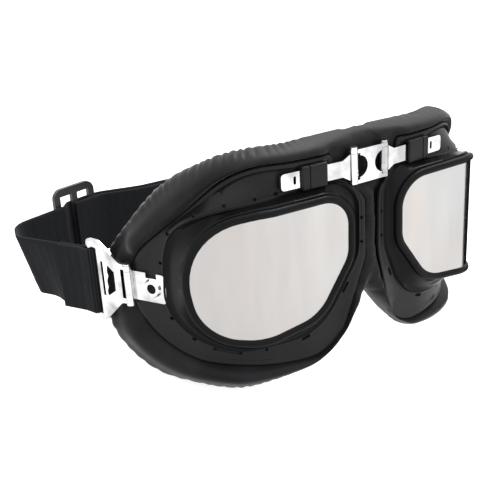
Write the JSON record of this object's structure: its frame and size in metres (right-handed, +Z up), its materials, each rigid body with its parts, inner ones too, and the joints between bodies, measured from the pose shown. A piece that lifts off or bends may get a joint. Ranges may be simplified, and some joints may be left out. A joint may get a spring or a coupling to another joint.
{
  "type": "motorcycle goggles",
  "caption": "Split-frame riding goggles with wrap-round mirror lenses, chromed folding bridge, leather face cushions and an elastic strap with a slider.",
  "frame": {"origin": "bottom centre of the whole set's box, on the surface that the cushions stand on", "axes": "+Z up, the lenses look towards -Y, +X is the wearer's left"},
  "size_m": [0.2266, 0.1528, 0.107],
  "materials": {
    "black_plastic": "moulded black, satin flange and glossy walls",
    "rim_black": "satin black",
    "mirror_lens": "silver mirror coat",
    "gasket_rubber": "matt",
    "black_leather": "soft grained, slightly polished",
    "chrome": "bright",
    "strap_webbing": "woven elastic"
  },
  "bodies": {
    "bridge": {"bridge_link": "chrome", "bridge_pin_left": "chrome", "bridge_pin_right": "chrome", "nose_gusset": "black_leather", "strap_outer_layer": "strap_webbing", "strap_inner_layer": "strap_webbing"},
    "arm_left": {"bridge_arm_left": "chrome"},
    "frame_left": {"eye_frame_left": "black_plastic", "lens_bezel_left": "rim_black", "lens_left": "mirror_lens", "lens_gasket_left": "gasket_rubber", "backing_ring_left": "rim_black", "face_cushion_left": "black_leather", "temple_bracket_left": "chrome", "bracket_rivet_left": "chrome"},
    "buckle_left": {"strap_buckle_left": "chrome", "temple_pin_left": "chrome", "strap_end_left": "strap_webbing"},
    "arm_right": {"bridge_arm_right": "chrome"},
    "frame_right": {"eye_frame_right": "black_plastic", "lens_bezel_right": "rim_black", "lens_right": "mirror_lens", "lens_gasket_right": "gasket_rubber", "backing_ring_right": "rim_black", "face_cushion_right": "black_leather", "temple_bracket_right": "chrome", "bracket_rivet_right": "chrome", "strap_run": "strap_webbing"},
    "buckle_right": {"strap_buckle_right": "chrome", "temple_pin_right": "chrome", "strap_end_right": "strap_webbing"},
    "slider": {"strap_slider": "rim_black"}
  },
  "joints": [
    {"name": "bridge_hinge_left", "type": "hinge", "parent": "bridge", "child": "arm_left", "pos_m": [0.0092, -0.07096, 0.0941], "axis": [0, 0, 1], "range_deg": [-8, 4], "deforming": ["nose_gusset", "strap_inner_layer", "strap_outer_layer"]},
    {"name": "width_slide_left", "type": "slide", "parent": "arm_left", "child": "frame_left", "axis": [0.9976, 0.0698, 0], "range_m": [-0.0008, 0.003], "deforming": ["nose_gusset", "strap_inner_layer", "strap_outer_layer"]},
    {"name": "temple_hinge_left", "type": "hinge", "parent": "frame_left", "child": "buckle_left", "pos_m": [0.08804, -0.01686, 0.0466], "axis": [0, 0, 1], "range_deg": [-35, 6], "deforming": ["strap_inner_layer", "strap_outer_layer"]},
    {"name": "bridge_hinge_right", "type": "hinge", "parent": "bridge", "child": "arm_right", "pos_m": [-0.007, -0.07096, 0.0941], "axis": [0, 0, -1], "range_deg": [-8, 4], "deforming": ["nose_gusset", "strap_run"]},
    {"name": "width_slide_right", "type": "slide", "parent": "arm_right", "child": "frame_right", "axis": [-0.9976, 0.0698, 0], "range_m": [-0.0008, 0.003], "deforming": ["nose_gusset", "strap_run"]},
    {"name": "temple_hinge_right", "type": "hinge", "parent": "frame_right", "child": "buckle_right", "pos_m": [-0.08583, -0.01686, 0.0466], "axis": [0, 0, -1], "range_deg": [-35, 6], "deforming": ["strap_run"]},
    {"name": "strap_adjust", "type": "slide", "parent": "frame_right", "child": "slider", "axis": [0.9613, 0.2756, 0], "range_m": [-0.008, 0.008], "deforming": ["strap_run", "strap_inner_layer", "strap_outer_layer"]}
  ]
}
